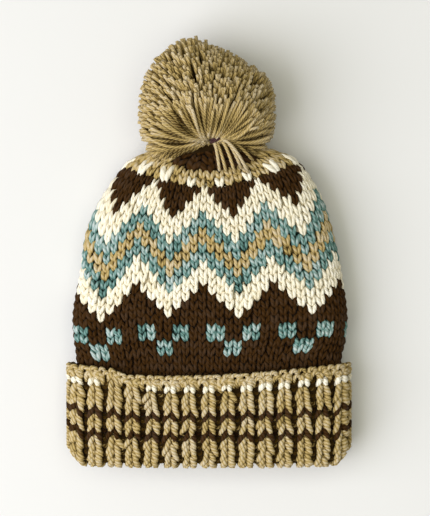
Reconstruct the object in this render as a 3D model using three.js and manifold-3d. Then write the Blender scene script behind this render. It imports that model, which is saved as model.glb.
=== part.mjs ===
// A hand-knitted bobble hat lying on its back: a colour-patterned crown, a ribbed cuff folded up
// over the crown's lower edge, and a yarn pompom tied to the crown's tip.
// Millimetres, +Z up from the surface it lies on. +Y runs from the mouth to the pompom, +X to the right.
import * as THREE from "three";
import { mergeVertices } from "three/addons/utils/BufferGeometryUtils.js";
import Module from "manifold-3d";

const wasm = await Module();
wasm.setup();

// Driving sizes
const CROWN_WALL = 6; // stranded knitting, two yarns thick
const GAP = 0.4; // between pieces that lie on each other
const CUFF_FOLD_Y = -162; // lower end of the hat, where the ribbing turns up
const CUFF_EDGE_Y = -83; // cast-on edge of the turned-up layer
const CUFF_HALF_WIDTH = 102.2; // to the surface between the cuff's two layers
const CUFF_TOP = 45.5;
const CUFF_FLOOR = 7;
const RIB_COUNT = 34; // knit columns round the cuff
const RIB_CREST = 7; // outer layer, from the surface between the layers
const RIB_GROOVE = 4.2;
const INNER_CREST = 6;
const INNER_GROOVE = 4;
const CUFF_SAG = { depth: 8.5, x: -45 }; // the upper edge dips towards the mouth, deepest at x
const CUFF_STEP = { height: 5.5, x: -68, width: 14 }; // the left end of the turn-up sits higher
const CUFF_CORNER = { start: 0.9, rise: 10 }; // the fold rounds up past this share of the width
const POM_CENTRE = new THREE.Vector3(-1.5, 106, 42);
const POM_RADII = new THREE.Vector3(52.5, 60, 45);
const POM_CORE_SHARE = 0.78; // head of the pompom, as a share of its radii
const POM_LOCKS = 58;
const LOCK_RADIUS = 10;
const LOCK_SIDES = 5;
const POM_SHOULDER = { share: 0.165, angle: 1.2, width: 0.53 }; // flatter at the upper right
const POM_TIE = new THREE.Vector3(0, 88, 52); // where the strands are tied, in a dimple of the ball
const POM_DIMPLE_WIDTH = 0.6; // radians

// How the hat lies: the roundness of a section above and below its widest level
const TOP_ROUNDNESS = 2.5;
const FLOOR_ROUNDNESS = 3.2;
const WIDEST_LEVEL = 0.46; // share of the height
const CROWN_COLUMNS = 52;
const RINGS_PER_ROW = 2;

// Crown sections, from the rim inside the cuff to the gathered tip. y is at the section's sides, lean
// is how far the middle of its upper side lies behind that, towards the mouth, and skew is how much
// further on its right side lies.
const CROWN_SECTIONS = [
  { y: -105, centreX: 0.0, halfWidth: 101.4, top: 44.8, floor: 7.8, lean: 0, skew: 0 },
  { y: -80, centreX: 0.0, halfWidth: 101.6, top: 45, floor: 7.6, lean: 0, skew: 0 },
  { y: -66, centreX: 0.6, halfWidth: 104.2, top: 49.5, floor: 0, lean: 0, skew: 0 },
  { y: -45, centreX: 0.8, halfWidth: 105.2, top: 51.5, floor: -2.5, lean: 0, skew: 0 },
  { y: -14, centreX: 1.2, halfWidth: 100.2, top: 53, floor: -2.5, lean: 2, skew: 1 },
  { y: 14, centreX: 0.0, halfWidth: 95.2, top: 53.5, floor: -2.5, lean: 5, skew: 2 },
  { y: 36, centreX: 0.2, halfWidth: 88, top: 53, floor: -2.5, lean: 8, skew: 3 },
  { y: 54, centreX: 0.8, halfWidth: 78, top: 51.5, floor: -1.5, lean: 10, skew: 3 },
  { y: 67, centreX: 1.5, halfWidth: 68, top: 49, floor: 1.5, lean: 11, skew: 2 },
  { y: 75, centreX: 1.8, halfWidth: 57, top: 46.5, floor: 5.5, lean: 10, skew: 1 },
  { y: 80.5, centreX: 1.5, halfWidth: 42, top: 44, floor: 12, lean: 8, skew: 0 },
  { y: 84, centreX: 1, halfWidth: 20, top: 40.5, floor: 22, lean: 5, skew: 0 },
];
const CROWN_TIP = new THREE.Vector3(0.8, 86, 34);

// Creases of the upper side, each along the hat at one place across it
const CREASES = [
  { x: -77, y: -42, depth: 4.5, halfWidth: 9, halfLength: 46 },
  { x: -44, y: -58, depth: 2.5, halfWidth: 10, halfLength: 30 },
  { x: 58, y: -62, depth: 2, halfWidth: 14, halfLength: 26 },
];

const signedPower = (value, power) => Math.sign(value) * Math.abs(value) ** power;

// One point of a lying section: angle 0 is its right side and a quarter turn its top.
function sectionPoint(section, angle) {
  const roundness = Math.sin(angle) > 0 ? TOP_ROUNDNESS : FLOOR_ROUNDNESS;
  const across = signedPower(Math.cos(angle), 2 / roundness);
  const up = signedPower(Math.sin(angle), 2 / roundness);
  const widest = section.floor + WIDEST_LEVEL * (section.top - section.floor);
  const reach = up > 0 ? section.top - widest : widest - section.floor;
  const x = section.centreX + across * section.halfWidth;
  const y = section.y - section.lean * Math.sign(up) * (1 - across * across) + section.skew * across;
  const crease = up > 0 ? up * creaseDepth(x, y) : 0;
  return new THREE.Vector3(x, y, Math.max(0, widest + up * reach - crease));
}

function creaseDepth(x, y) {
  let depth = 0;
  for (const crease of CREASES) {
    const side = ((x - crease.x) / crease.halfWidth) ** 2;
    const along = ((y - crease.y) / crease.halfLength) ** 2;
    depth += crease.depth * Math.exp(-side - along);
  }
  return depth;
}

// A closed section as points at even distances round it, so that the columns follow the knitting.
function evenLoop(section, count) {
  const fine = [];
  const fineCount = count * 8;
  for (let i = 0; i < fineCount; i++) {
    fine.push(sectionPoint(section, (i / fineCount) * 2 * Math.PI));
  }
  const along = [0];
  for (let i = 0; i < fineCount; i++) {
    along.push(along[i] + fine[i].distanceTo(fine[(i + 1) % fineCount]));
  }
  const loop = [];
  let step = 0;
  for (let i = 0; i < count; i++) {
    const distance = (i / count) * along[fineCount];
    while (along[step + 1] < distance) step++;
    const share = (distance - along[step]) / (along[step + 1] - along[step]);
    loop.push(fine[step].clone().lerp(fine[(step + 1) % fineCount], share));
  }
  return loop;
}

// The table's rows joined by smooth curves, as more rows.
function smoothSections(rows, perRow) {
  const columns = Object.keys(rows[0]).map((name) => {
    const points = rows.map((row) => new THREE.Vector3(row[name], 0, 0));
    return { name, curve: new THREE.CatmullRomCurve3(points, false, "catmullrom") };
  });
  const count = (rows.length - 1) * perRow;
  return Array.from({ length: count + 1 }, (_, i) =>
    Object.fromEntries(columns.map(({ name, curve }) => [name, curve.getPoint(i / count).x])),
  );
}

// Outward directions of a grid of loops, from the loops on both sides and the points beside.
function gridNormals(loops, tip) {
  return loops.map((loop, i) =>
    loop.map((point, j) => {
      const count = loop.length;
      const below = loops[Math.max(0, i - 1)][j];
      const above = i + 1 < loops.length ? loops[i + 1][j] : tip;
      const round = loop[(j + 1) % count].clone().sub(loop[(j + count - 1) % count]);
      return round.cross(above.clone().sub(below)).negate().normalize();
    }),
  );
}

// A mesh from loops of equal length: each joined to the next, with faces turned one way.
class LoopMesh {
  constructor() {
    this.points = [];
    this.faces = [];
  }

  addLoop(points) {
    const first = this.points.length;
    this.points.push(...points);
    return { first, count: points.length };
  }

  bridge(a, b) {
    for (let j = 0; j < a.count; j++) {
      const next = (j + 1) % a.count;
      this.faces.push(a.first + j, b.first + j, b.first + next);
      this.faces.push(a.first + j, b.first + next, a.first + next);
    }
  }

  close(loop, point, facing) {
    const centre = this.points.push(point) - 1;
    for (let j = 0; j < loop.count; j++) {
      const next = (j + 1) % loop.count;
      if (facing > 0) this.faces.push(loop.first + j, centre, loop.first + next);
      else this.faces.push(loop.first + next, centre, loop.first + j);
    }
  }

  geometry() {
    const made = new THREE.BufferGeometry().setFromPoints(this.points);
    made.setIndex(this.faces);
    return made;
  }
}

function solidOf(geometry) {
  const bare = new THREE.BufferGeometry();
  bare.setAttribute("position", geometry.getAttribute("position"));
  if (geometry.index) bare.setIndex(geometry.index);
  const merged = mergeVertices(bare, 1e-4);
  const made = new wasm.Mesh({
    numProp: 3,
    vertProperties: new Float32Array(merged.attributes.position.array),
    triVerts: new Uint32Array(merged.index.array),
  });
  return new wasm.Manifold(made);
}

function geometryOf(solid) {
  const made = solid.getMesh();
  const geometry = new THREE.BufferGeometry();
  geometry.setAttribute("position", new THREE.BufferAttribute(made.vertProperties, made.numProp));
  geometry.setIndex(new THREE.BufferAttribute(made.triVerts, 1));
  return geometry;
}

function largestBody(solid) {
  return solid.decompose().sort((a, b) => b.volume() - a.volume())[0];
}

// Crown: a knitted wall, open at the mouth and gathered shut at the tip.
function crownOuter() {
  const sections = smoothSections(CROWN_SECTIONS, RINGS_PER_ROW);
  const loops = sections.map((section) => evenLoop(section, CROWN_COLUMNS));
  return { loops, normals: gridNormals(loops, CROWN_TIP) };
}

function offsetLoops({ loops, normals }, distance) {
  return loops.map((loop, i) =>
    loop.map((point, j) => point.clone().addScaledVector(normals[i][j], distance)),
  );
}

function crownGeometry(outer) {
  const mesh = new LoopMesh();
  const skin = outer.loops.map((loop) => mesh.addLoop(loop));
  const lining = offsetLoops(outer, -CROWN_WALL).map((loop) => mesh.addLoop(loop));
  const last = skin.length - 1;
  for (let i = 0; i < last; i++) {
    mesh.bridge(skin[i], skin[i + 1]);
    mesh.bridge(lining[i + 1], lining[i]);
  }
  mesh.bridge(lining[0], skin[0]);
  mesh.close(skin[last], CROWN_TIP.clone(), 1);
  mesh.close(lining[last], CROWN_TIP.clone().add(new THREE.Vector3(0, -CROWN_WALL, 0)), -1);
  return mesh.geometry();
}

// The crown's outer form as one filled solid, grown by a distance, to cut its neighbours clear of it.
function crownForm(outer, grow) {
  const mesh = new LoopMesh();
  const skin = offsetLoops(outer, grow).map((loop) => mesh.addLoop(loop));
  const last = skin.length - 1;
  for (let i = 0; i < last; i++) mesh.bridge(skin[i], skin[i + 1]);
  const rim = CROWN_SECTIONS[0];
  mesh.close(skin[last], CROWN_TIP.clone().add(new THREE.Vector3(0, grow, 0)), 1);
  mesh.close(skin[0], new THREE.Vector3(rim.centreX, rim.y, (rim.top + rim.floor) / 2), -1);
  return solidOf(mesh.geometry());
}

// Cuff: ribbing folded double, with the crown's rim standing on its inner layer.
function cuffShift(x, up) {
  const reach = CUFF_HALF_WIDTH + Math.abs(CUFF_SAG.x);
  const sag = CUFF_SAG.depth * (1 - ((x - CUFF_SAG.x) / reach) ** 2);
  const half = CUFF_STEP.width / 2;
  const step = CUFF_STEP.height * THREE.MathUtils.smoothstep(CUFF_STEP.x - x, -half, half);
  return Math.max(0, up) * (step - sag);
}

function cuffCorner(across) {
  const past = Math.max(0, Math.abs(across) - CUFF_CORNER.start) / (1 - CUFF_CORNER.start);
  return past * past;
}

// The cuff's cut edge in (y, depth), where depth 0 lies between the two layers. crest and groove
// tell how far the ribbing swells there, follow how much of the edge's dip and step it takes, and
// corner how far it rises at the sides.
function cuffProfile() {
  const innerTop = CROWN_SECTIONS[0].y - GAP;
  const round = RIB_CREST;
  const edge = { y: CUFF_EDGE_Y, follow: 1, corner: 0 };
  const fold = { y: CUFF_FOLD_Y, follow: 0, corner: CUFF_CORNER.rise };
  const inner = { y: innerTop, follow: 0, corner: 0 };
  return [
    { ...edge, crest: GAP, groove: GAP },
    { ...edge, crest: 0.7 * RIB_CREST, groove: 0.8 * RIB_GROOVE },
    { ...edge, y: CUFF_EDGE_Y - 4, crest: RIB_CREST, groove: RIB_GROOVE },
    { ...fold, y: CUFF_FOLD_Y + 1.6 * round, crest: RIB_CREST, groove: RIB_GROOVE },
    { ...fold, y: CUFF_FOLD_Y + 0.4 * round, crest: 0.75 * RIB_CREST, groove: 0.5 * RIB_GROOVE },
    { ...fold, crest: 0.2 * RIB_CREST, groove: 0 },
    { ...fold, y: CUFF_FOLD_Y + 0.5 * round, crest: -0.7 * INNER_GROOVE, groove: -INNER_GROOVE },
    { ...fold, y: CUFF_FOLD_Y + 1.6 * round, crest: -INNER_GROOVE, groove: -INNER_CREST },
    { ...inner, crest: -INNER_GROOVE, groove: -INNER_CREST },
    { ...inner, crest: -GAP, groove: -GAP },
    { ...fold, y: CUFF_FOLD_Y + 1.4 * round, crest: -GAP, groove: -GAP },
    { ...fold, y: CUFF_FOLD_Y + 1.2 * round, crest: 0, groove: 0 },
    { ...fold, y: CUFF_FOLD_Y + 1.4 * round, crest: GAP, groove: GAP },
  ];
}

function cuffGeometry() {
  const columnsPerRib = 4;
  const count = RIB_COUNT * columnsPerRib;
  const middle = {
    y: 0,
    centreX: 0,
    halfWidth: CUFF_HALF_WIDTH,
    top: CUFF_TOP,
    floor: CUFF_FLOOR,
    lean: 0,
    skew: 0,
  };
  const loop = evenLoop(middle, count);
  const mesh = new LoopMesh();
  const rings = cuffProfile().map((row) =>
    mesh.addLoop(
      loop.map((point, j) => {
        const before = loop[(j + count - 1) % count];
        const after = loop[(j + 1) % count];
        const outward = new THREE.Vector3(after.z - before.z, 0, before.x - after.x).normalize();
        const phase = (j + 0.5) / columnsPerRib;
        const swell = 0.5 - 0.5 * Math.cos(phase * 2 * Math.PI);
        const depth = row.groove + swell * (row.crest - row.groove);
        const across = point.x / CUFF_HALF_WIDTH;
        const up = (2 * (point.z - CUFF_FLOOR)) / (CUFF_TOP - CUFF_FLOOR) - 1;
        const made = point.clone().addScaledVector(outward, depth);
        made.y = row.y + row.follow * cuffShift(point.x, up) + row.corner * cuffCorner(across);
        made.z = Math.max(0, made.z);
        return made;
      }),
    ),
  );
  rings.forEach((ring, i) => mesh.bridge(rings[(i + 1) % rings.length], ring));
  return mesh.geometry();
}

// Pompom: locks of cut yarn standing out of a round head, dimpled at the tie and flat where it lies.
function pomReach(direction) {
  const ball = POM_RADII.clone().multiply(direction).length();
  const turn = Math.atan2(direction.y, direction.x) - POM_SHOULDER.angle;
  const flat = POM_SHOULDER.share * Math.exp(-((turn / POM_SHOULDER.width) ** 4));
  const tie = POM_TIE.clone().sub(POM_CENTRE);
  const away = direction.angleTo(tie) / POM_DIMPLE_WIDTH;
  const dimple = (ball - tie.length()) * Math.exp(-away * away);
  return ball * (1 - flat * Math.hypot(direction.x, direction.y)) - dimple;
}

function lockGeometry(length) {
  const profile = [
    new THREE.Vector2(0, 0),
    new THREE.Vector2(LOCK_RADIUS, length - LOCK_RADIUS * 0.8),
    new THREE.Vector2(LOCK_RADIUS * 0.62, length - LOCK_RADIUS * 0.2),
    new THREE.Vector2(0, length),
  ];
  return new THREE.LatheGeometry(profile, LOCK_SIDES);
}

function pomGeometry(outer) {
  const head = new THREE.IcosahedronGeometry(1, 2);
  const places = head.getAttribute("position");
  for (let i = 0; i < places.count; i++) {
    const direction = new THREE.Vector3().fromBufferAttribute(places, i).normalize();
    const place = direction.clone().multiplyScalar(POM_CORE_SHARE * pomReach(direction)).add(POM_CENTRE);
    places.setXYZ(i, place.x, place.y, place.z);
  }
  let solid = solidOf(head);
  const goldenTurn = Math.PI * (3 - Math.sqrt(5));
  for (let i = 0; i < POM_LOCKS; i++) {
    const height = 1 - (2 * (i + 0.5)) / POM_LOCKS;
    const ring = Math.sqrt(1 - height * height);
    const direction = new THREE.Vector3(
      ring * Math.cos(i * goldenTurn),
      ring * Math.sin(i * goldenTurn),
      height,
    );
    const lock = lockGeometry(pomReach(direction));
    lock.applyQuaternion(new THREE.Quaternion().setFromUnitVectors(new THREE.Vector3(0, 1, 0), direction));
    lock.translate(...POM_CENTRE.toArray());
    solid = solid.add(solidOf(lock));
  }
  const depth = POM_RADII.z;
  const underFloor = new THREE.BoxGeometry(4 * depth, 4 * depth, depth);
  underFloor.translate(POM_CENTRE.x, POM_CENTRE.y, -depth / 2);
  const cut = solid.subtract(solidOf(underFloor)).subtract(crownForm(outer, GAP));
  return geometryOf(largestBody(cut));
}

// Assembly
const YARN = {
  brown: { color: 0x4a3220, roughness: 0.95, metalness: 0 },
  camel: { color: 0xb59c68, roughness: 0.95, metalness: 0 },
};

function piece(name, geometry, yarn) {
  const made = new THREE.Mesh(geometry, new THREE.MeshStandardMaterial(yarn));
  made.name = name;
  return made;
}

const outer = crownOuter();
const hat = new THREE.Group();
hat.name = "bobble_hat";
hat.add(piece("crown", crownGeometry(outer), YARN.brown));
hat.add(piece("cuff", cuffGeometry(), YARN.camel));
hat.add(piece("pompom", pomGeometry(outer), YARN.camel));

// The origin is in the middle of the hat's box, on the surface that it lies on.
const middle = new THREE.Box3().setFromObject(hat).getCenter(new THREE.Vector3());
hat.position.set(-middle.x, -middle.y, 0);
hat.updateMatrixWorld(true);

export default hat;
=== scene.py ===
# Looks of a hand-knitted bobble hat that lies on its back. Each stitch is a loop of yarn on the hat's form.
import bpy
import math
import numpy as np
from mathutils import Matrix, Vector
from mathutils.bvhtree import BVHTree


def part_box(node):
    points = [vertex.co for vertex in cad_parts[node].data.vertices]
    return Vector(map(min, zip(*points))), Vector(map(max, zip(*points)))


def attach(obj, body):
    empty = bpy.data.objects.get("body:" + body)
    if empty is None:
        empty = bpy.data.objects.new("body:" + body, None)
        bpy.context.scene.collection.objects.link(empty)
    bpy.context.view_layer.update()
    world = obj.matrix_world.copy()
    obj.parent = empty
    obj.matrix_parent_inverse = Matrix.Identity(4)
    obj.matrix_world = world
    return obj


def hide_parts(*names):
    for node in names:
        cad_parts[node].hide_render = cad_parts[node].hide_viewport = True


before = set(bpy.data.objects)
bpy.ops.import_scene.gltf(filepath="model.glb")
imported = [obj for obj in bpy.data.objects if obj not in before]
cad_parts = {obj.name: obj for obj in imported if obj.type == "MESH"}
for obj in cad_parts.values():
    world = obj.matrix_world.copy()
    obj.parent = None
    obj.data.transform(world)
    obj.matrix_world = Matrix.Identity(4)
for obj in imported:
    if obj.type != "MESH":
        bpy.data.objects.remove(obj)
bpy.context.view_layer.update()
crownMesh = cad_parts["crown"].data
crownSkin = BVHTree.FromPolygons(
    [v.co.copy() for v in crownMesh.vertices], [list(f.vertices) for f in crownMesh.polygons])
mm = 0.001
draws = np.random.default_rng(27)  # the hand's unevenness, the same each run
print("frame loaded")


def deselectAll():
    if bpy.context.object and bpy.context.object.mode != "OBJECT":
        bpy.ops.object.mode_set(mode="OBJECT")
    bpy.ops.object.select_all(action="DESELECT")


def linearColour(code):
    parts = [int(code[i:i + 2], 16) / 255 for i in (1, 3, 5)]
    return [c / 12.92 if c <= 0.04045 else ((c + 0.055) / 1.055) ** 2.4 for c in parts] + [1.0]


def addNode(tree, kind, settings=None, links=None):
    node = tree.nodes.new(kind)
    for key, value in (settings or {}).items():
        if isinstance(key, int) or key in node.inputs:
            node.inputs[key].default_value = value
        else:
            setattr(node, key, value)
    for key, source in (links or {}).items():
        tree.links.new(source, node.inputs[key])
    return node


# Form of the hat, in mm: +Y from the mouth to the pompom, +Z up, a section's turn 0 at its top and
# growing to the right
sectionForm = {
    "topRoundness": 2.5,
    "floorRoundness": 3.2,
    "widestLevel": 0.46,  # share of the height
    "steps": 1440,
}


def signedPower(value, power):
    return np.sign(value) * np.abs(value) ** power


def evenLoop(points, count):
    steps = np.linalg.norm(np.diff(points, axis=0), axis=1)
    along = np.concatenate([[0], np.cumsum(steps)])
    even = np.linspace(0, along[-1], count, endpoint=False)
    return np.stack([np.interp(even, along, points[:, k]) for k in range(3)], axis=1)


def sectionLoop(row, count, creases=()):
    y, centreX, halfWidth, top, floor, lean, skew = row
    angle = math.pi / 2 - np.linspace(0, 2 * math.pi, sectionForm["steps"] + 1)
    roundness = np.where(np.sin(angle) > 0, sectionForm["topRoundness"], sectionForm["floorRoundness"])
    across = signedPower(np.cos(angle), 2 / roundness)
    up = signedPower(np.sin(angle), 2 / roundness)
    widest = floor + sectionForm["widestLevel"] * (top - floor)
    reach = np.where(up > 0, top - widest, widest - floor)
    x = centreX + across * halfWidth
    along = y - lean * np.sign(up) * (1 - across ** 2) + skew * across
    z = widest + up * reach
    for creaseX, creaseY, depth, creaseWidth, creaseLength in creases:
        side = ((x - creaseX) / creaseWidth) ** 2 + ((along - creaseY) / creaseLength) ** 2
        z -= np.maximum(up, 0) * depth * np.exp(-side)
    return evenLoop(np.stack([x, along, np.maximum(0, z)], axis=1), count)


def smoothTable(rows, perRow):
    # a smooth curve through the table's rows
    table = np.array(rows, float)
    run = np.vstack([2 * table[0] - table[1], table, 2 * table[-1] - table[-2]])
    made = []
    for step in np.linspace(0, len(table) - 1, (len(table) - 1) * perRow + 1):
        i = min(int(step), len(table) - 2)
        t = step - i
        a, b, c, d = run[i:i + 4]
        bend = (2 * a - 5 * b + 4 * c - d) * t ** 2 + (3 * b - a - 3 * c + d) * t ** 3
        made.append(0.5 * (2 * b + (c - a) * t + bend))
    return np.array(made)


# Crown sections from the rim inside the cuff to the gathered tip, as in its solid
crownForm = {
    "sections": [  # y at the sides, centre x, half width, top, floor, lean of the upper middle, skew
        (-105, 0.0, 101.4, 44.8, 7.8, 0, 0),
        (-80, 0.0, 101.6, 45, 7.6, 0, 0),
        (-66, 0.6, 104.2, 49.5, 0, 0, 0),
        (-45, 0.8, 105.2, 51.5, -2.5, 0, 0),
        (-14, 1.2, 100.2, 53, -2.5, 2, 1),
        (14, 0.0, 95.2, 53.5, -2.5, 5, 2),
        (36, 0.2, 88, 53, -2.5, 8, 3),
        (54, 0.8, 78, 51.5, -1.5, 10, 3),
        (67, 1.5, 68, 49, 1.5, 11, 2),
        (75, 1.8, 57, 46.5, 5.5, 10, 1),
        (80.5, 1.5, 42, 44, 12, 8, 0),
        (84, 1.0, 20, 40.5, 22, 5, 0),
    ],
    "tip": (0.8, 86, 34),
    "tipRings": (0.15, 0.3, 0.45, 0.6, 0.75, 0.9),  # shares of the way from the last section to the tip
    "creases": [  # x, y, depth, half width, half length
        (-77, -42, 4.5, 9, 46),
        (-44, -58, 2.5, 10, 30),
        (58, -62, 2, 14, 26),
    ],
    "ringsPerSection": 12,
    "ringColumns": 432,
    "stitchWidth": 6.65,
    "rowHeight": 6.08,
    "squaresRow": 5,  # first row of the squares, and where it starts on the upper side
    "squaresY": -77.2,
}
hatShift = np.array([0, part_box("crown")[0].y / mm - crownForm["sections"][0][0], 0])


def crownGrid():
    table = smoothTable(crownForm["sections"], crownForm["ringsPerSection"])
    loops = [sectionLoop(row, crownForm["ringColumns"], crownForm["creases"]) for row in table]
    last = loops[-1]
    for share in crownForm["tipRings"]:
        loops.append(last + (np.array(crownForm["tip"]) - last) * share)
    return np.array(loops)


crownPoints = crownGrid()
crownAcross = np.roll(crownPoints, -1, axis=1) - np.roll(crownPoints, 1, axis=1)
crownNormals = np.cross(crownAcross, np.gradient(crownPoints, axis=0))
crownNormals /= np.linalg.norm(crownNormals, axis=2, keepdims=True)
crownMiddle = crownPoints[:, 0]
crownAlong = np.concatenate([[0], np.cumsum(np.linalg.norm(np.diff(crownMiddle, axis=0), axis=1))])
squaresAlong = np.interp(crownForm["squaresY"], crownMiddle[:, 1], crownAlong)
crownRowAt = (crownAlong - squaresAlong) / crownForm["rowHeight"] + crownForm["squaresRow"]


def columnsBeside(turn, count):
    # the loop's points before and after this turn, and the share of the way between them
    column = (turn % 1.0) * count
    before = np.floor(column).astype(int) % count
    return before, (before + 1) % count, (column - np.floor(column))[..., None]


def crownPlace(turn, row, lift):
    ring = np.interp(row, crownRowAt, np.arange(len(crownRowAt)))
    ring = np.clip(ring, 0, len(crownRowAt) - 1.001)
    i = ring.astype(int)
    s = (ring - i)[..., None]
    j, k, t = columnsBeside(turn, crownPoints.shape[1])

    def between(grid):
        low = grid[i, j] * (1 - t) + grid[i, k] * t
        high = grid[i + 1, j] * (1 - t) + grid[i + 1, k] * t
        return low * (1 - s) + high * s

    return between(crownPoints) + between(crownNormals) * lift[..., None]


# Cuff: two layers of ribbing that meet in a fold. The way runs from the cast-on edge down the outer
# layer, round the fold and up the inner layer
cuffForm = {
    "foldY": -162,
    "edgeY": -83,
    "innerTopY": -105.4,
    "halfWidth": 102.2,  # to the surface between the layers
    "top": 45.5,
    "floor": 7,
    "outerCrest": 7,
    "innerCrest": 6,
    "foldReach": 7,
    "sag": {"depth": 8.5, "x": -45},  # the upper edge dips towards the mouth
    "step": {"height": 5.5, "x": -68, "width": 14},  # its left end sits higher
    "corner": {"start": 0.9, "rise": 10},  # the fold rounds up at the sides
    "ribs": 31,
    "rowHeight": 5.5,
    "loopColumns": 1360,
    "waySteps": {"outer": 60, "fold": 40, "inner": 50},
    "crestStretch": 1.08,  # the ribs' crests lie further out than the loop
}
cuffLoop = sectionLoop(
    (0, 0, cuffForm["halfWidth"], cuffForm["top"], cuffForm["floor"], 0, 0), cuffForm["loopColumns"])
cuffSide = np.roll(cuffLoop, -1, axis=0) - np.roll(cuffLoop, 1, axis=0)
cuffOut = np.stack([-cuffSide[:, 2], 0 * cuffSide[:, 0], cuffSide[:, 0]], axis=1)
cuffOut /= np.linalg.norm(cuffOut, axis=1, keepdims=True)
ribPitch = np.linalg.norm(cuffSide, axis=1).sum() / 2 / cuffForm["ribs"] * cuffForm["crestStretch"]


def cuffWay():
    turnY = cuffForm["foldY"] + cuffForm["foldReach"]
    middle = (cuffForm["outerCrest"] - cuffForm["innerCrest"]) / 2
    half = (cuffForm["outerCrest"] + cuffForm["innerCrest"]) / 2
    steps = cuffForm["waySteps"]
    rows = []  # y, depth, share of the edge's dip, reach at the corners
    for share in np.linspace(0, 1, steps["outer"]):
        y = cuffForm["edgeY"] + share * (turnY - cuffForm["edgeY"])
        rows.append((y, cuffForm["outerCrest"], 1 - share, cuffForm["corner"]["rise"] * share))
    for angle in np.linspace(0, math.pi, steps["fold"])[1:-1]:
        y = turnY - cuffForm["foldReach"] * math.sin(angle)
        rows.append((y, middle + half * math.cos(angle), 0, cuffForm["corner"]["rise"]))
    for share in np.linspace(0, 1, steps["inner"]):
        y = turnY + share * (cuffForm["innerTopY"] - turnY)
        rows.append((y, -cuffForm["innerCrest"], 0, cuffForm["corner"]["rise"] * (1 - share)))
    return np.array(rows)


cuffRows = cuffWay()
cuffSteps = np.diff(cuffRows[:, :2], axis=0)
cuffAlong = np.concatenate([[0], np.cumsum(np.linalg.norm(cuffSteps, axis=1))])
cuffTangent = np.gradient(cuffRows[:, :2], axis=0)
cuffTangent /= np.linalg.norm(cuffTangent, axis=1, keepdims=True)
cuffLength = cuffAlong[-1]
cuffOuterLength = cuffForm["edgeY"] - cuffForm["foldY"] - cuffForm["foldReach"]


def cuffPlace(turn, way, lift):
    j, k, t = columnsBeside(turn, len(cuffLoop))
    base = cuffLoop[j] * (1 - t) + cuffLoop[k] * t
    out = cuffOut[j] * (1 - t) + cuffOut[k] * t
    y, depth, follow, corner = [np.interp(way, cuffAlong, cuffRows[:, n]) for n in range(4)]
    tangentY = np.interp(way, cuffAlong, cuffTangent[:, 0])
    tangentDepth = np.interp(way, cuffAlong, cuffTangent[:, 1])
    y = y - np.minimum(way, 0) * tangentY + lift * tangentDepth  # what is past the edge turns back
    depth = depth - lift * tangentY
    up = 2 * (base[..., 2] - cuffForm["floor"]) / (cuffForm["top"] - cuffForm["floor"]) - 1
    sag = cuffForm["sag"]
    reach = cuffForm["halfWidth"] + abs(sag["x"])
    dip = sag["depth"] * (1 - ((base[..., 0] - sag["x"]) / reach) ** 2)
    step = cuffForm["step"]
    rise = np.clip((step["x"] - base[..., 0]) / step["width"] + 0.5, 0, 1)
    rise = step["height"] * rise * rise * (3 - 2 * rise)
    past = np.maximum(0, np.abs(base[..., 0]) / cuffForm["halfWidth"] - cuffForm["corner"]["start"])
    past = (past / (1 - cuffForm["corner"]["start"])) ** 2
    place = base + out * depth[..., None]
    place[..., 1] = y + follow * np.maximum(0, up) * (rise - dip) + corner * past
    return place


print("form ready: crown rows to", round(crownRowAt[-1], 1), "cuff way", round(cuffLength, 1), "mm")


# Yarn loops: one of each kind is drawn as a curve, thickened and made a mesh, then copied
plyShift = 20  # mm by which the plies of two copies may be out of step
seamGap = 0.05  # mm within which a wall's edges are joined


def drawLoop(name, points, steps=2, sides=1):
    deselectAll()
    bpy.ops.curve.primitive_bezier_curve_add(location=(0, 0, 0))
    strand = bpy.context.object
    strand.name = name
    spline = strand.data.splines[0]
    spline.bezier_points.add(len(points) - 2)
    for knot, (x, y, z, radius) in zip(spline.bezier_points, points):
        knot.co = (x, y, z)
        knot.handle_left_type = "AUTO"
        knot.handle_right_type = "AUTO"
        knot.radius = radius
    spline.resolution_u = steps
    strand.data.dimensions = "3D"
    strand.data.twist_mode = "MINIMUM"
    strand.data.bevel_depth = 1.0
    strand.data.bevel_resolution = sides
    bpy.ops.object.convert(target="MESH")
    bpy.ops.object.mode_set(mode="EDIT")
    bpy.ops.mesh.select_all(action="SELECT")
    corners = 4 + 2 * sides  # of the yarn's section
    bpy.ops.mesh.fill_holes(sides=corners)
    bpy.ops.mesh.select_all(action="SELECT")
    bpy.ops.mesh.normals_make_consistent(inside=False)
    bpy.ops.object.mode_set(mode="OBJECT")
    loop = meshArrays(strand, corners)
    bpy.data.objects.remove(strand)
    return loop


def meshArrays(strand, sides):
    mesh = strand.data
    points = np.array([v.co for v in mesh.vertices])
    corners = np.array([c.vertex_index for c in mesh.loops])
    starts = np.array([f.loop_start for f in mesh.polygons])
    totals = np.array([f.loop_total for f in mesh.polygons])
    rings = points.reshape(-1, sides, 3).mean(axis=1)
    along = np.concatenate([[0], np.cumsum(np.linalg.norm(np.diff(rings, axis=0), axis=1))])
    uv = np.stack([along[corners // sides], (corners % sides) / sides], axis=1)
    for start, total in zip(starts, totals):
        # a face that closes the section runs from its last corner to 1
        turns = uv[start:start + total, 1]
        if turns.max() - turns.min() > 0.5 and total == 4:
            uv[start:start + total, 1] = np.where(turns < 0.25, turns + 1, turns)
    triangles = int((totals - 2).sum())
    return {"points": points, "corners": corners, "starts": starts, "uv": uv, "triangles": triangles}


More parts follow.
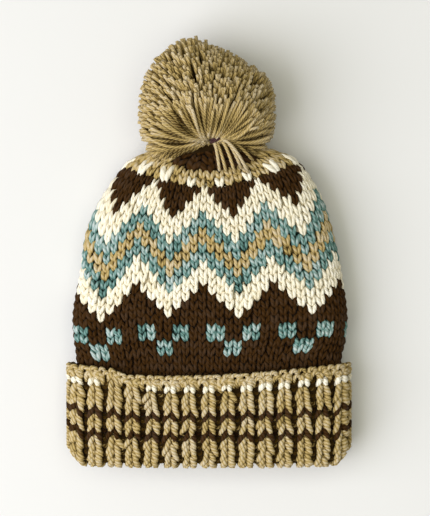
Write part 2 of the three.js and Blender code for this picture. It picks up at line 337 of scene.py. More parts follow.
def joinCopies(name, loop, places, shades):
    copies, count = places.shape[:2]
    order = np.arange(copies)[:, None]
    mesh = bpy.data.meshes.new(name)
    mesh.vertices.add(copies * count)
    mesh.vertices.foreach_set("co", ((places + hatShift) * mm).astype(np.float32).ravel())
    mesh.loops.add(copies * len(loop["corners"]))
    mesh.loops.foreach_set("vertex_index", (loop["corners"] + order * count).ravel().astype(np.int32))
    mesh.polygons.add(copies * len(loop["starts"]))
    starts = (loop["starts"] + order * len(loop["corners"])).ravel()
    mesh.polygons.foreach_set("loop_start", starts.astype(np.int32))
    mesh.polygons.foreach_set("use_smooth", np.ones(len(starts), bool))
    shift = np.stack([draws.uniform(0, plyShift, copies), np.zeros(copies)], axis=1)
    uv = loop["uv"][None] + shift[:, None]
    mesh.uv_layers.new(name="yarn").data.foreach_set("uv", uv.astype(np.float32).ravel())
    shade = mesh.attributes.new("shade", "FLOAT", "POINT")
    shade.data.foreach_set("value", shades.astype(np.float32).ravel())
    mesh.update()
    mesh.validate()
    piece = bpy.data.objects.new(name, mesh)
    bpy.context.scene.collection.objects.link(piece)
    print(name, copies, "loops", copies * loop["triangles"], "triangles")
    return piece


def finishPiece(piece, materials, node):
    for material in materials:
        piece.data.materials.append(material)
    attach(piece, "root")
    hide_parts(node)


def thickenWall(wall, places, thickness, side):
    wall.data.vertices.foreach_set("co", ((places + hatShift) * mm).ravel())
    wall.data.update()
    bpy.ops.object.mode_set(mode="EDIT")
    bpy.ops.mesh.select_all(action="SELECT")
    bpy.ops.mesh.remove_doubles(threshold=seamGap * mm)
    bpy.ops.mesh.normals_make_consistent(inside=False)
    bpy.ops.object.mode_set(mode="OBJECT")
    solid = wall.modifiers.new("thickness", "SOLIDIFY")
    solid.thickness = thickness * mm
    solid.offset = side
    bpy.ops.object.modifier_apply(modifier=solid.name)
    bpy.ops.object.shade_smooth()


# Plied wool yarn, spun and twisted: matt, with a soft sheen, a little uneven. Painted shade darkens it
# between the plies and deep down, and painted highlights whiten it on the plies. A colour is the lit yarn,
# what is left of each channel in painted shade, and how far painted highlights go white
yarnColours = {
    "brown": ("#3a2409", (0.3, 0.24, 0.12), 0.012),
    "cream": ("#ebe3cc", (0.84, 0.8, 0.7), 0.35),
    "teal": ("#648a84", (0.03, 0.07, 0.06), 0.4),
    "camel": ("#b39b61", (0.1, 0.07, 0.02), 0.24),
    "tie": ("#432a2b", (0.3, 0.3, 0.3), 0.05),
    "shaded": ("#33240d", (0.3, 0.25, 0.12), 0.02),  # camel yarn deep between ribs and strands, painted dark as painted shade
}
yarnLook = {
    "plies": 3,
    "twistLength": 11.0,  # mm for one turn of the plies
    "fibre": 0.7,  # mm, drawn coarser than a wool fibre so that it shows
    "patch": 14.0,  # mm, slow drift of the dye
    "detail": 2.0,  # of both noises
    # plyShow: how strongly the plies' painted shade and painted highlights show in the colour
    "plyShow": 0.28,
    "fibreShow": 0.5,
    "patchShow": 0.3,
    "meanHeight": 0.89,  # of plies and fibres, where the yarn has its lit colour
    "toPaintedShade": 0.55,
    "toPaintedHighlight": 0.4,
    "plyDepth": 0.35,  # mm
    "bump": 0.8,
    "roughness": 0.85,
    "sheen": 0.03,
    "sheenRoughness": 0.45,
    "specular": 0.05,
}
thickYarnLook = {**yarnLook, "twistLength": 9.0, "plyShow": 0.42, "plyDepth": 0.65}


def yarnMaterial(name, colour, look):
    material = bpy.data.materials.new(name)
    material.use_nodes = True
    tree = material.node_tree
    tree.nodes.clear()
    lit, share, white = yarnColours[colour]
    base = linearColour(lit)
    # deep is the painted shade colour, and the other the painted highlight colour
    deep = [c * left for c, left in zip(base, share)] + [1.0]
    paintedHighlight = [c + white * (1 - c) for c in base]
    uv = addNode(tree, "ShaderNodeUVMap", {"uv_map": "yarn"})
    place = addNode(tree, "ShaderNodeTexCoord")
    parts = addNode(tree, "ShaderNodeSeparateXYZ", links={0: uv.outputs["UV"]})
    turned = addNode(tree, "ShaderNodeMath", {"operation": "MULTIPLY", 1: math.pi * look["plies"]},
                     {0: parts.outputs["Y"]})
    wound = addNode(tree, "ShaderNodeMath",
                    {"operation": "MULTIPLY_ADD", 1: math.pi * look["plies"] / look["twistLength"]},
                    {0: parts.outputs["X"], 2: turned.outputs[0]})
    wave = addNode(tree, "ShaderNodeMath", {"operation": "SINE"}, {0: wound.outputs[0]})
    ply = addNode(tree, "ShaderNodeMath", {"operation": "ABSOLUTE"}, {0: wave.outputs[0]})
    fibre, patch = [
        addNode(tree, "ShaderNodeTexNoise", {"Scale": 1 / (look[size] * mm), "Detail": look["detail"]},
                {"Vector": place.outputs["Object"]})
        for size in ("fibre", "patch")]
    shade = addNode(tree, "ShaderNodeAttribute", {"attribute_name": "shade"})
    height = addNode(tree, "ShaderNodeMath", {"operation": "MULTIPLY_ADD", 1: look["fibreShow"]},
                     {0: fibre.outputs["Fac"], 2: ply.outputs[0]})
    tone = addNode(tree, "ShaderNodeMath", {"operation": "MULTIPLY_ADD", 1: look["plyShow"]},
                   {0: height.outputs[0], 2: shade.outputs["Fac"]})
    drift = addNode(tree, "ShaderNodeMath", {"operation": "MULTIPLY_ADD", 1: look["patchShow"]},
                    {0: patch.outputs["Fac"], 2: tone.outputs[0]})
    ramp = addNode(tree, "ShaderNodeValToRGB", links={0: drift.outputs[0]})
    middle = look["patchShow"] / 2 + look["meanHeight"] * look["plyShow"]
    ramp.color_ramp.elements[0].position = max(0.0, middle - look["toPaintedShade"])
    ramp.color_ramp.elements[0].color = deep
    ramp.color_ramp.elements[1].position = min(1.0, middle + look["toPaintedHighlight"])
    ramp.color_ramp.elements[1].color = paintedHighlight
    ramp.color_ramp.elements.new(middle).color = base
    bump = addNode(tree, "ShaderNodeBump", {"Strength": look["bump"], "Distance": look["plyDepth"] * mm},
                   {"Height": height.outputs[0]})
    shader = addNode(tree, "ShaderNodeBsdfPrincipled",
                     {"Roughness": look["roughness"], "Specular IOR Level": look["specular"],
                      "Sheen Weight": look["sheen"], "Sheen Roughness": look["sheenRoughness"]},
                     {"Base Color": ramp.outputs["Color"], "Normal": bump.outputs["Normal"]})
    addNode(tree, "ShaderNodeOutputMaterial", links={"Surface": shader.outputs["BSDF"]})
    return material


yarns = {colour: yarnMaterial(colour + "_wool_yarn", colour, yarnLook) for colour in yarnColours}
thickYarns = {
    colour: yarnMaterial(colour + "_thick_wool_yarn", colour, thickYarnLook)
    for colour in ("brown", "cream", "camel")}


# Crown: stocking stitch in four colours. A stitch comes up between the legs of the one below it
crownKnit = {
    "round": 72,
    "topColumn": 8.34,  # column line that runs up the middle of the upper side
    "colours": ("brown", "cream", "teal", "camel"),
    "repeat": 8,
    "squares": {"lower": (2, 3), "upper": (0, 1, 4, 5)},  # columns of the repeat, two rows each
    "valley": 3,  # column of the repeat where the zigzag is lowest
    "zigzagRow": 10,
    "bands": [("cream", 3), ("teal", 2), ("camel", 2), ("teal", 2), ("cream", 3)],
    "topRow": 26,  # first row above the triangles
    "gathers": [(26, 48), (28, 24), (30, 12)],  # row and stitches in the round from there
    "flecks": {  # long cream stitches near the top, shorter in the middle
        "row": 26, "every": 3, "size": 1.4, "lift": 0.9, "middle": 7, "middleSize": 1.0},
    "camelSides": {"columns": (9, 27), "row": 31},  # camel runs on at the sides, up to this row
    "lastRow": 31,
    "spread": [  # columns from the top middle, and the share of the half round that they take
        (-36, -1), (-20.6, -0.62), (-16.9, -0.5), (-13.5, -0.379), (0, 0),
        (9.3, 0.271), (13, 0.392), (16.9, 0.5), (20.6, 0.62), (36, 1)],
    "sway": [  # columns from the top middle, and the rows by which the rounds stand higher there
        (-18, 0), (-13.5, -0.75), (-9.6, -0.6), (-7.3, 0), (0, -0.22), (6, 0), (13, 0.35), (18, 0)],
    "gatherRise": [  # the same for the rounds near the top, on both sides alike
        (0, -0.1), (5, 0.4), (9, 0.7), (13, 1.1), (20, 1.0), (36, 0)],
    "gatherFrom": (18, 25),  # rows from which that counts, and counts in full
    "pull": {  # long stitches at the left
        "column": -9, "row": 17.5, "rise": 1.0, "columns": 2.4, "rows": 3.5},
    "loop": [  # half of a stitch: x in stitch widths, y in rows, depth and thickness in mm
        (-0.08, -0.16, -3.9, 1.05),
        (-0.12, 0.18, -2.35, 1.5),
        (-0.22, 0.58, -1.7, 1.72),
        (-0.34, 0.98, -2.2, 1.55),
        (-0.42, 1.27, -3.9, 1.05),
        (0, 1.45, -4.8, 1.0),
    ],
    "depths": [-5.5, -2.6, -0.4],  # mm, and the light that is left there
    "depthShades": [-0.95, -0.38, 0.2],
    "uneven": {"x": 0.045, "y": 0.06, "turn": 0.11, "size": 0.065, "shade": 0.09},
}


def columnsAway(columns):
    half = crownKnit["round"] / 2
    return (columns + half) % (2 * half) - half


def columnTurn(columns):
    # stitches near the hat's sides are drawn wider than in the middle
    return np.interp(columnsAway(columns), *zip(*crownKnit["spread"])) / 2


def rowAt(columns, row):
    # the rounds sway, and those near the gathered top rise towards the sides
    away = columnsAway(columns)
    start, full = crownKnit["gatherFrom"]
    gather = np.clip((row - start) / (full - start), 0, 1)
    rise = np.interp(np.abs(away), *zip(*crownKnit["gatherRise"]))
    pull = crownKnit["pull"]
    off = ((away - pull["column"]) / pull["columns"]) ** 2 + ((row - pull["row"]) / pull["rows"]) ** 2
    sway = np.interp(away, *zip(*crownKnit["sway"]))
    return row + sway * (1 - gather) + rise * gather + pull["rise"] * np.exp(-off)


def columnsFromTop(column, count):
    return np.abs(columnsAway((column + 0.5) * crownKnit["round"] / count - crownKnit["topColumn"]))


def wholeLoop(half, width, height):
    left = [(x * width, y * height, z, radius) for x, y, z, radius in half]
    return left + [(-x, y, z, radius) for x, y, z, radius in left[-2::-1]]


def crownColour(row, column):
    place = column % crownKnit["repeat"]
    squares = crownKnit["squares"]
    first = crownForm["squaresRow"]
    if row in (first, first + 1):
        return "teal" if place in squares["lower"] else "brown"
    if row in (first + 2, first + 3):
        return "teal" if place in squares["upper"] else "brown"
    if row >= crownKnit["topRow"]:
        if row >= crownKnit["gathers"][1][0]:
            sides = crownKnit["camelSides"]
            low, high = sides["columns"]
            atSide = low < columnsFromTop(column, stitchesInRound(row)) < high
            return "camel" if atSide and row < sides["row"] else "brown"
        flecks = crownKnit["flecks"]
        return "cream" if row == flecks["row"] and column % flecks["every"] == 0 else "camel"
    away = abs(place - crownKnit["valley"])
    height = row - crownKnit["zigzagRow"] - min(away, crownKnit["repeat"] - away)
    for colour, rows in crownKnit["bands"]:
        if 0 <= height < rows:
            return colour
        height -= rows
    return "brown"


def stitchesInRound(row):
    count = crownKnit["round"]
    for start, fewer in crownKnit["gathers"]:
        if row >= start:
            count = fewer
    return count


def buildCrown():
    keys = wholeLoop(crownKnit["loop"], crownForm["stitchWidth"], crownForm["rowHeight"])
    loop = drawLoop("stitch", keys, steps=1)
    spots = {colour: [] for colour in crownKnit["colours"]}
    for row in range(crownKnit["lastRow"] + 1):
        count = stitchesInRound(row)
        for column in range(count):
            spots[crownColour(row, column)].append((row, column, count))
    uneven = crownKnit["uneven"]
    for colour, found in spots.items():
        row, column, count = np.array(found, float).T[..., None]
        copies = len(found)
        lean = draws.normal(0, uneven["turn"], (copies, 1))
        grow = draws.normal(1, uneven["size"], (copies, 1))
        flecks = crownKnit["flecks"]
        long = (row == flecks["row"]) & (colour == "cream")
        inMiddle = columnsFromTop(column, count) < flecks["middle"]
        size = np.where(inMiddle, flecks["middleSize"], flecks["size"])
        grow = np.where(long, size * grow, grow)
        x = loop["points"][:, 0] * grow / crownForm["stitchWidth"]
        y = loop["points"][:, 1] * grow / crownForm["rowHeight"]
        across = column + 0.5 + x - lean * (y - 0.5) + draws.normal(0, uneven["x"], (copies, 1))
        along = row + y + lean * x + draws.normal(0, uneven["y"], (copies, 1))
        away = across * crownKnit["round"] / count - crownKnit["topColumn"]
        lift = loop["points"][:, 2] + np.where(long, flecks["lift"], 0)
        places = crownPlace(columnTurn(away), rowAt(away, along), lift)
        places[..., 2] = np.maximum(places[..., 2], 0)
        shades = np.interp(lift, crownKnit["depths"], crownKnit["depthShades"])
        shades = shades + draws.normal(0, uneven["shade"], (copies, 1))
        piece = joinCopies("crown_knit_" + colour, loop, places, shades)
        finishPiece(piece, [yarns[colour]], "crown")


# Wall behind the stitches: the strands that lie across the inside
crownWall = {"depth": 4.6, "thickness": 1.0, "side": -1, "rows": 32}  # side -1 thickens inwards


def buildCrownWall():
    deselectAll()
    count = crownKnit["round"]
    rows = crownWall["rows"]
    bpy.ops.mesh.primitive_grid_add(x_subdivisions=count, y_subdivisions=rows, size=1, location=(0, 0, 0))
    wall = bpy.context.object
    wall.name = "crown_floats"
    flat = np.array([v.co for v in wall.data.vertices])
    away = (flat[:, 0] + 0.5) * count - crownKnit["topColumn"]
    row = rowAt(away, (flat[:, 1] + 0.5) * rows)
    places = crownPlace(columnTurn(away), row, np.full(len(flat), -crownWall["depth"]))
    colours = crownKnit["colours"]
    for face in wall.data.polygons:
        column = int((face.center.x + 0.5) * count)
        line = int((face.center.y + 0.5) * rows)
        fewer = int(column * stitchesInRound(line) / count)
        face.material_index = colours.index(crownColour(line, fewer))
    # Its faces have no yarn UVs and no shade values, so each colour comes out darker than the lit yarn:
    # painted shade in the gaps between stitches
    finishPiece(wall, [yarns[colour] for colour in colours], "crown")
    thickenWall(wall, places, crownWall["thickness"], crownWall["side"])


buildCrown()
buildCrownWall()
print("crown knitted")


# Cuff: single ribbing. Knit columns stand out, and purl columns lie in the grooves between them
cuffKnit = {
    "firstRow": 4.0,  # mm from the cast-on edge
    "creamRow": 1,
    "brownRows": (5, 8),
    "plainTips": (-80, -50),  # x of the ribs that have no cream stitch
    "tipWay": 12.0,  # mm from the cast-on edge, where that x is read
    "insideFrom": 22,  # mm past the outer layer, from where simpler loops do
    "knit": [  # half of a stitch: x in ribs, y in rows, depth and thickness in mm
        (-0.07, -0.14, -4.6, 1.6),
        (-0.115, 0.28, -3.0, 2.15),
        (-0.195, 0.8, -2.4, 2.4),
        (-0.27, 1.32, -2.4, 2.1),
        (-0.31, 1.7, -3.8, 1.35),
        (0, 1.9, -6.2, 1.2),
    ],
    "cap": [  # half of a short stitch, for the cream tips and the row above them
        (-0.09, 0.02, -3.2, 1.8),
        (-0.14, 0.45, -2.2, 2.45),
        (-0.2, 0.9, -2.6, 2.1),
        (-0.22, 1.2, -4.8, 1.3),
        (0, 1.3, -6.0, 1.0),
    ],
    "purl": [
        (-0.2, 0.2, -6.5, 1.5),
        (-0.08, 0.48, -5.8, 1.85),
        (0, 0.55, -5.6, 1.9),
    ],
    "edge": [  # an arch of the cast-on
        (-0.17, 1.15, -4.6, 1.3),
        (-0.19, 0.5, -2.9, 1.85),
        (-0.1, 0.0, -2.4, 2.1),
        (0.06, -0.08, -2.3, 2.1),
        (0.17, 0.3, -3.0, 1.85),
        (0.2, 1.0, -4.6, 1.3),
    ],
    "edgeRows": [(2.2, 0.1), (6.0, 0.36)],  # mm from the edge, and ribs by which the arches are set off
    "edgeLoose": 2.4,  # how much more uneven than the ribs
    "neckWay": 4.6,  # mm from the edge, where the short stitches above the tips lie
    "depths": [-7.0, -4.4, -1.0],  # mm, and the light that is left there
    "depthShades": [-0.85, -0.36, 0.16],
    "grooveShade": -0.3,  # less light comes down to the purl columns
    "uneven": {"x": 0.022, "y": 0.08, "turn": 0.1, "size": 0.06, "shade": 0.09},
}


def layRibs(name, loop, ribs, ways, colour, darker=0.0, loose=1.0):
    uneven = cuffKnit["uneven"]
    copies = len(ribs)
    lean = draws.normal(0, uneven["turn"] * loose, (copies, 1))
    grow = draws.normal(1, uneven["size"] * loose, (copies, 1))
    x = loop["points"][:, 0] * grow
    y = loop["points"][:, 1] * grow
    across = np.array(ribs, float)[:, None] + (x - lean * y) / ribPitch
    across += draws.normal(0, uneven["x"], (copies, 1))
    along = np.array(ways, float)[:, None] + y + lean * x
    along += draws.normal(0, uneven["y"] * cuffForm["rowHeight"], (copies, 1))
    lift = np.broadcast_to(loop["points"][:, 2], across.shape)
    places = cuffPlace(-across / cuffForm["ribs"], along, lift)
    places[..., 2] = np.maximum(places[..., 2], 0)
    shades = np.interp(lift, cuffKnit["depths"], cuffKnit["depthShades"]) + darker
    shades = shades + draws.normal(0, uneven["shade"], (copies, 1))
    piece = joinCopies(name, loop, places, shades)
    finishPiece(piece, [thickYarns[colour]], "cuff")


def ribPlace(rib):
    turn = np.array([-rib / cuffForm["ribs"]])
    return cuffPlace(turn, np.array([cuffKnit["tipWay"]]), np.array([0.0]))[0]


def ribColour(rib, row):
    if row in cuffKnit["brownRows"]:
        return "brown"
    x, _, z = ribPlace(rib)
    low, high = cuffKnit["plainTips"]
    plain = low < x < high and z > cuffForm["top"] / 2
    return "cream" if row == cuffKnit["creamRow"] and not plain else "camel"


def buildCuff():
    height = cuffForm["rowHeight"]
    keys = wholeLoop(cuffKnit["knit"], ribPitch, height)
    knit = drawLoop("rib_stitch", keys, steps=1)
    plain = drawLoop("rib_stitch_inside", keys[::2], steps=1)
    purl = drawLoop("purl_bump", wholeLoop(cuffKnit["purl"], ribPitch, height))
    edge = drawLoop("cast_on", [(x * ribPitch, y * height, z, r) for x, y, z, r in cuffKnit["edge"]])
    outer = {"camel": [], "brown": [], "cream": []}
    grooves = {"camel": [], "brown": []}
    inside = []
    for row in range(int((cuffLength - cuffKnit["firstRow"]) / height)):
        way = cuffKnit["firstRow"] + row * height
        for rib in range(cuffForm["ribs"]):
            if way > cuffOuterLength + cuffKnit["insideFrom"]:
                inside.append((rib, way))
                continue
            if row > 0:
                outer[ribColour(rib, row)].append((rib, way))
            grooves["brown" if row in cuffKnit["brownRows"] else "camel"].append((rib + 0.5, way))
    cap = drawLoop("cream_cap", wholeLoop(cuffKnit["cap"], ribPitch, height), steps=1)
    for colour, found in outer.items():
        layRibs("cuff_ribs_" + colour, cap if colour == "cream" else knit, *zip(*found), colour)
    ribs = np.arange(cuffForm["ribs"])
    layRibs("cuff_ribs_edge", cap, ribs, np.full(len(ribs), cuffKnit["neckWay"]), "camel")
    for colour, found in grooves.items():
        layRibs("cuff_grooves_" + colour, purl, *zip(*found), colour, cuffKnit["grooveShade"])
    layRibs("cuff_ribs_inside", plain, *zip(*inside), "camel")
    layRibs("cuff_grooves_inside", purl, *zip(*[(rib + 0.5, way) for rib, way in inside]), "camel")
    arches = np.arange(2 * cuffForm["ribs"]) / 2
    turns = np.concatenate([arches + offset for _, offset in cuffKnit["edgeRows"]])
    ways = np.concatenate([np.full(len(arches), way) for way, _ in cuffKnit["edgeRows"]])
    layRibs("cuff_cast_on", edge, turns, ways, "camel", loose=cuffKnit["edgeLoose"])


# Wall behind the ribs, from the cast-on edge round the fold to the crown
cuffWall = {
    "depth": 6.0,
    "thickness": 0.8,
    "side": 0,  # thickens both ways
    "steps": 64,
    "columnsPerRib": 4,
    "start": 1.5,  # mm from the cast-on edge, and how much shorter than the ribs
    "shorter": 2,
}


def buildCuffWall():
    deselectAll()
    count = cuffWall["columnsPerRib"] * cuffForm["ribs"]
    bpy.ops.mesh.primitive_grid_add(
        x_subdivisions=count, y_subdivisions=cuffWall["steps"], size=1, location=(0, 0, 0))
    wall = bpy.context.object
    wall.name = "cuff_backing"
    flat = np.array([v.co for v in wall.data.vertices])
    way = cuffWall["start"] + (flat[:, 1] + 0.5) * (cuffLength - cuffWall["shorter"])
    places = cuffPlace(-flat[:, 0], way, np.full(len(flat), -cuffWall["depth"]))
    thickenWall(wall, places, cuffWall["thickness"], cuffWall["side"])
    # The wall is camel yarn painted dark: painted shade behind the ribs
    finishPiece(wall, [yarns["shaded"]], "cuff")


buildCuff()
buildCuffWall()
print("cuff knitted")


# Pompom: cut strands that spread from the tie, arch over and end on a ball
pomForm = {
    "centre": (-1.5, 106, 42),
    "radii": (52.5, 60, 45),
    "shoulder": {"share": 0.165, "angle": 1.2, "width": 0.53},  # flatter at the upper right
    "tie": (0, 88, 52),
    "dimple": 0.6,  # radians
    "headShare": 0.7,
    "headDetail": 4,
    "knot": (-0.5, 85.5, 54),  # where the strands come out
    "knotSpread": {"share": 0.25, "reach": (-3, 10)},  # the tie is a slit, longer to the right
    "places": 2300,  # on the whole ball
    "thickness": 1.34,
    "bare": 1.14,  # radians round the tie with no ends
    "spread": 1.85,  # radians from the ball's axis at which the outermost strands leave the knot
    "standing": (1.25, 2.0),  # radians from the tie from where the ends stand up, square to the ball
    "clear": 1.1,
    "crownDepth": 5.0,  # ends that would lie deeper in the crown are left out
    "bareBelow": {"x": (-32, 36), "y": 81},  # no cut ends over the crown's gathered top
    "depths": [0, 4, 11, 26],  # mm under the ball's face, and the light that is left there
    "depthShades": [0.2, 0.04, -0.36, -0.7],
    "steps": 8,
    "stepLength": 6.0,  # mm, in the strand that is copied
    "sideFrom": (0.31, 0.17, 0.93),  # a direction that no strand takes, to turn the sections from
    "leadShare": 0.42,  # shares of a strand that bend at the knot and at the cut end
    "tailShare": 0.35,
    "uneven": {
        "start": 1.3, "lead": 1.8, "ending": 0.12, "place": 0.03, "bare": 0.1, "reach": 0.05, "shade": 0.1,
        "looseStart": 1.0},
    "lowest": -2,  # mm, ends that would lie deeper in the floor are left out
    "loose": [  # ends of strands that lie on the crown or stand out, x and y
        (8.1, 61.3), (12.9, 60.8), (19.4, 59.7), (24.3, 63.1), (29.6, 59.7), (33, 69.3), (36.2, 74.1),
        (43.3, 78.1), (40.1, 80.6), (-42.3, 75.7), (-39.8, 73.3), (-33.4, 74.9), (-28.7, 74.3),
        (-36, 77), (-31, 76.5), (-26, 78.5), (-37, 71), (-33, 71), (-42, 72.5), (-29, 73), (-43.9, 79.7),
        (-46.2, 82.8), (-3.2, 80.5)],
    "looseFloor": 24,  # mm, the lowest that such an end hangs
    "looseLift": (0, 0, 1.5),  # over the other strands
    "looseLead": {"share": (0.3, 0.03, 0.1), "add": (0, 2.0, 4.0)},
    "looseTail": {"share": (0.65, 0.4, 0.5), "add": (0, 1.0, 2.0)},
    "above": 200.0,  # mm, well over the hat
    "stray": [(-9.9, 163.2), (-2.3, 160.4)],
}


def tieAxis():
    axis = np.array(pomForm["tie"], float) - np.array(pomForm["centre"])
    return axis / np.linalg.norm(axis)


def tieAngle(direction):
    return np.arccos(np.clip(direction @ tieAxis(), -1, 1))


def pomReach(direction):
    ball = np.linalg.norm(direction * np.array(pomForm["radii"]), axis=1)
    shoulder = pomForm["shoulder"]
    turn = np.arctan2(direction[:, 1], direction[:, 0]) - shoulder["angle"]
    flat = shoulder["share"] * np.exp(-(turn / shoulder["width"]) ** 4)
    depth = np.linalg.norm(np.array(pomForm["tie"], float) - np.array(pomForm["centre"]))
    dimple = (ball - depth) * np.exp(-(tieAngle(direction) / pomForm["dimple"]) ** 2)
    return ball * (1 - flat * np.hypot(direction[:, 0], direction[:, 1])) - dimple


def ballDirections(count):
    step = np.arange(count) + 0.5
    height = 1 - 2 * step / count
    turn = step * math.pi * (3 - math.sqrt(5))
    ring = np.sqrt(1 - height ** 2)
    return np.stack([ring * np.cos(turn), ring * np.sin(turn), height], axis=1)


def nearCrown(point):
    world = Vector((point + hatShift) * mm)
    near, normal, _, _ = crownSkin.find_nearest(world)
    return near, normal, (world - near).dot(normal)


def offCrown(points):
    # strands lie on the crown and on the floor, never in them
    for point in points.reshape(-1, 3):
        near, normal, height = nearCrown(point)
        if height < pomForm["clear"] * mm:
            point[:] = np.array(near + normal * pomForm["clear"] * mm) / mm - hatShift
    points[..., 2] = np.maximum(points[..., 2], pomForm["thickness"])
    return points


def crownTop(x, y):
    above = Vector((np.array([x, y, pomForm["above"]]) + hatShift) * mm)
    place, _, _, _ = crownSkin.ray_cast(above, Vector((0, 0, -1)))
    return place.z / mm if place else 0.0


def strandPaths(start, lead, tail, end):
    t = np.linspace(0, 1, pomForm["steps"])[None, :, None]
    near = (1 - t) ** 3 * start[:, None] + 3 * t * (1 - t) ** 2 * lead[:, None]
    return near + 3 * t ** 2 * (1 - t) * tail[:, None] + t ** 3 * end[:, None]


def strandTubes(paths, loop):
    # each path gets a tube: rings square to the path, as in the drawn strand
    tangent = np.gradient(paths, axis=1)
    tangent /= np.linalg.norm(tangent, axis=2, keepdims=True)
    side = np.cross(tangent, np.array(pomForm["sideFrom"]))
    side /= np.linalg.norm(side, axis=2, keepdims=True)
    other = np.cross(tangent, side)
    shape = loop["points"].reshape(paths.shape[1], -1, 3)
    tubes = paths[:, :, None] + pomForm["thickness"] * (
        side[:, :, None] * shape[None, :, :, 1:2] + other[:, :, None] * shape[None, :, :, 2:3])
    return tubes.reshape(len(paths), -1, 3)


def strandStarts(end, scatter):
    start = np.array(pomForm["knot"]) + draws.normal(0, scatter, end.shape)
    spread = pomForm["knotSpread"]
    start[:, 0] += np.clip(spread["share"] * end[:, 0], *spread["reach"])
    return start


def archedStrands(end):
    # a strand leaves the knot sideways if it ends near the tie, and straight on if it ends opposite
    centre = np.array(pomForm["centre"])
    axis = tieAxis()
    uneven = pomForm["uneven"]
    start = strandStarts(end, uneven["start"])
    out = end - start
    length = np.linalg.norm(out, axis=1, keepdims=True)
    side = out - (out @ axis)[:, None] * axis
    side /= np.linalg.norm(side, axis=1, keepdims=True)
    direction = end - centre
    direction /= np.linalg.norm(direction, axis=1, keepdims=True)
    angle = tieAngle(direction)
    leave = pomForm["spread"] * (math.pi - angle) / (math.pi - pomForm["bare"])
    lead = np.sin(leave)[:, None] * side - np.cos(leave)[:, None] * axis
    lead = start + lead * length * pomForm["leadShare"] + draws.normal(0, uneven["lead"], end.shape)
    along = end - lead
    along /= np.linalg.norm(along, axis=1, keepdims=True)
    low, high = pomForm["standing"]
    upright = np.clip((angle - low) / (high - low), 0, 1)[:, None]
    ending = along * (1 - upright) + direction * upright + draws.normal(0, uneven["ending"], end.shape)
    return strandPaths(start, lead, end - ending * length * pomForm["tailShare"], end)


def looseStrands():
    end = []
    for x, y in pomForm["loose"]:
        end.append((x, y, max(crownTop(x, y), pomForm["looseFloor"]) + pomForm["clear"]))
    end = np.array(end)
    start = strandStarts(end, pomForm["uneven"]["looseStart"]) + np.array(pomForm["looseLift"])
    lead, tail = [
        start + (end - start) * np.array(pomForm[bend]["share"]) + np.array(pomForm[bend]["add"])
        for bend in ("looseLead", "looseTail")]
    return strandPaths(start, lead, tail, end)


def buildPom():
    uneven = pomForm["uneven"]
    knots = [(i * pomForm["stepLength"], 0, 0, 1.0) for i in range(pomForm["steps"])]
    loop = drawLoop("strand", knots, steps=1, sides=0)
    centre = np.array(pomForm["centre"])
    direction = ballDirections(pomForm["places"])
    direction += draws.normal(0, uneven["place"], direction.shape)
    direction /= np.linalg.norm(direction, axis=1, keepdims=True)
    bare = pomForm["bare"] + draws.normal(0, uneven["bare"], len(direction))
    direction = direction[tieAngle(direction) > bare]
    reach = pomReach(direction) * (1 - np.abs(draws.normal(0, uneven["reach"], len(direction))))
    end = centre + direction * reach[:, None]
    deep = np.array([-nearCrown(point)[2] / mm for point in end])
    low, high = pomForm["bareBelow"]["x"]
    bare = (end[:, 0] > low) & (end[:, 0] < high) & (end[:, 1] < pomForm["bareBelow"]["y"])
    end = end[(deep < pomForm["crownDepth"]) & (end[:, 2] > pomForm["lowest"]) & ~bare]
    stray = np.array([(x, y, centre[2]) for x, y in pomForm["stray"]])
    paths = np.concatenate([archedStrands(np.concatenate([end, stray])), looseStrands()])
    tubes = strandTubes(offCrown(paths), loop)
    away = (tubes - centre).reshape(-1, 3)
    length = np.linalg.norm(away, axis=1)
    depth = (pomReach(away / length[:, None]) - length).reshape(len(tubes), -1)
    shades = np.interp(depth, pomForm["depths"], pomForm["depthShades"])
    shades = shades + draws.normal(0, uneven["shade"], (len(tubes), 1))
    piece = joinCopies("pompom_strands", loop, tubes, shades)
    finishPiece(piece, [yarns["camel"]], "pompom")


# A ball of the dark camel inside the strands: painted shade for the yarn deep in the pompom
def buildPomHead():
    deselectAll()
    bpy.ops.mesh.primitive_ico_sphere_add(
        subdivisions=pomForm["headDetail"], radius=1, location=(0, 0, 0))
    head = bpy.context.object
    head.name = "pompom_head"
    direction = np.array([v.co.normalized() for v in head.data.vertices])
    reach = pomReach(direction) * pomForm["headShare"]
    places = offCrown(np.array(pomForm["centre"]) + direction * reach[:, None])
    head.data.vertices.foreach_set("co", ((places + hatShift) * mm).ravel())
    head.data.update()
    bpy.ops.object.shade_smooth()
    finishPiece(head, [yarns["shaded"]], "pompom")


# Tie: the dark yarn that holds the strands, seen where it comes out between them
pomTie = {
    "path": [  # place and thickness
        (0.5, 84, 55, 0.9), (2.5, 84.2, 58, 1.0), (5.5, 85.6, 59, 1.0), (8, 87.2, 58, 1.0),
        (9.5, 88.2, 55, 0.9)],
    "wraps": [0, 1.7],  # mm, beside each other
    "shift": 0.4,  # share of that by which the next wrap starts further right
}


def buildPomTie():
    loop = drawLoop("tie", pomTie["path"])
    beside = np.array([(pomTie["shift"] * step, -step, 0) for step in pomTie["wraps"]])
    places = loop["points"][None] + beside[:, None]
    piece = joinCopies("pompom_tie", loop, places, np.zeros(places.shape[:2]))
    finishPiece(piece, [yarns["tie"]], "pompom")


buildPomHead()
buildPom()
buildPomTie()
print("pompom tied")


# Stage, in metres: pale matt paper that shows soft shadows and no gloss, a large soft light from the
# lower left, one overhead, and soft light all round
stageSet = {
    "floor": 6.0,
    "paper": "#e0e0e0",
    "paperRoughness": 0.95,
    "paperSpecular": 0.1,
    "keyPlace": (-1.75, -0.6, 1.85),
    "keySize": 2.6,
    "keyColour": (1.0, 1.0, 1.07),
    "keyPower": 80.0,
    "roofSize": 2.2,
    "roofHeight": 2.4,
    "roofPower": 26.0,
    "sky": 0.24,
    "skyColour": (1.0, 0.99, 0.83, 1.0),
}


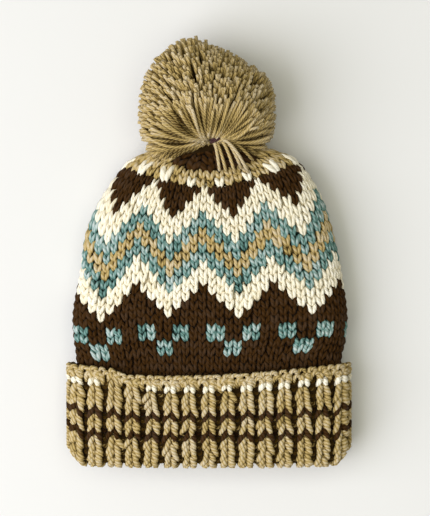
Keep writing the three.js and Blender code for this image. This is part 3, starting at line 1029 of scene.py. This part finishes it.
def buildStage():
    deselectAll()
    bpy.ops.mesh.primitive_plane_add(size=stageSet["floor"], location=(0, 0, 0))
    floor = bpy.context.object
    floor.name = "floor"
    paper = bpy.data.materials.new("matt_paper")
    paper.use_nodes = True
    shader = paper.node_tree.nodes["Principled BSDF"]
    shader.inputs["Base Color"].default_value = linearColour(stageSet["paper"])
    shader.inputs["Roughness"].default_value = stageSet["paperRoughness"]
    shader.inputs["Specular IOR Level"].default_value = stageSet["paperSpecular"]
    floor.data.materials.append(paper)
    bpy.ops.object.light_add(type="AREA", location=stageSet["keyPlace"])
    key = bpy.context.object
    key.name = "window"
    key.data.shape = "SQUARE"
    key.data.size = stageSet["keySize"]
    key.data.energy = stageSet["keyPower"]
    key.data.color = stageSet["keyColour"]
    key.rotation_euler = (-Vector(stageSet["keyPlace"])).to_track_quat("-Z", "Y").to_euler()
    key.visible_camera = False
    bpy.ops.object.light_add(type="AREA", location=(0, 0, stageSet["roofHeight"]))
    roof = bpy.context.object
    roof.name = "roof_light"
    roof.data.shape = "SQUARE"
    roof.data.size = stageSet["roofSize"]
    roof.data.energy = stageSet["roofPower"]
    roof.data.color = stageSet["skyColour"][:3]
    roof.visible_camera = False
    world = bpy.data.worlds.new("room")
    bpy.context.scene.world = world
    world.use_nodes = True
    world.node_tree.nodes["Background"].inputs["Color"].default_value = stageSet["skyColour"]
    world.node_tree.nodes["Background"].inputs["Strength"].default_value = stageSet["sky"]
    bpy.context.scene.view_settings.view_transform = "Standard"


# Camera straight above. The picture is 430 x 516, and 0.76 mm of the hat fills one of its pixels
cameraSet = {
    "pixel": 0.76,
    "tall": 516,
    "middle": (4.56, -3.8),
    "lens": 120.0,
    "level": 28.0,  # mm over the floor, where that size holds
    "nearest": 10.0,
}


def buildCamera():
    bpy.ops.object.camera_add(location=(0, 0, 1))
    camera = bpy.context.object
    camera.name = "camera"
    camera.data.lens = cameraSet["lens"]
    away = cameraSet["lens"] * cameraSet["pixel"] * cameraSet["tall"] / camera.data.sensor_width
    x, y = cameraSet["middle"]
    camera.location = Vector((x, y + hatShift[1], away + cameraSet["level"])) * mm
    camera.rotation_euler = (0, 0, 0)
    camera.data.clip_start = cameraSet["nearest"] * mm
    bpy.context.scene.camera = camera


buildStage()
buildCamera()
print("stage and camera set")
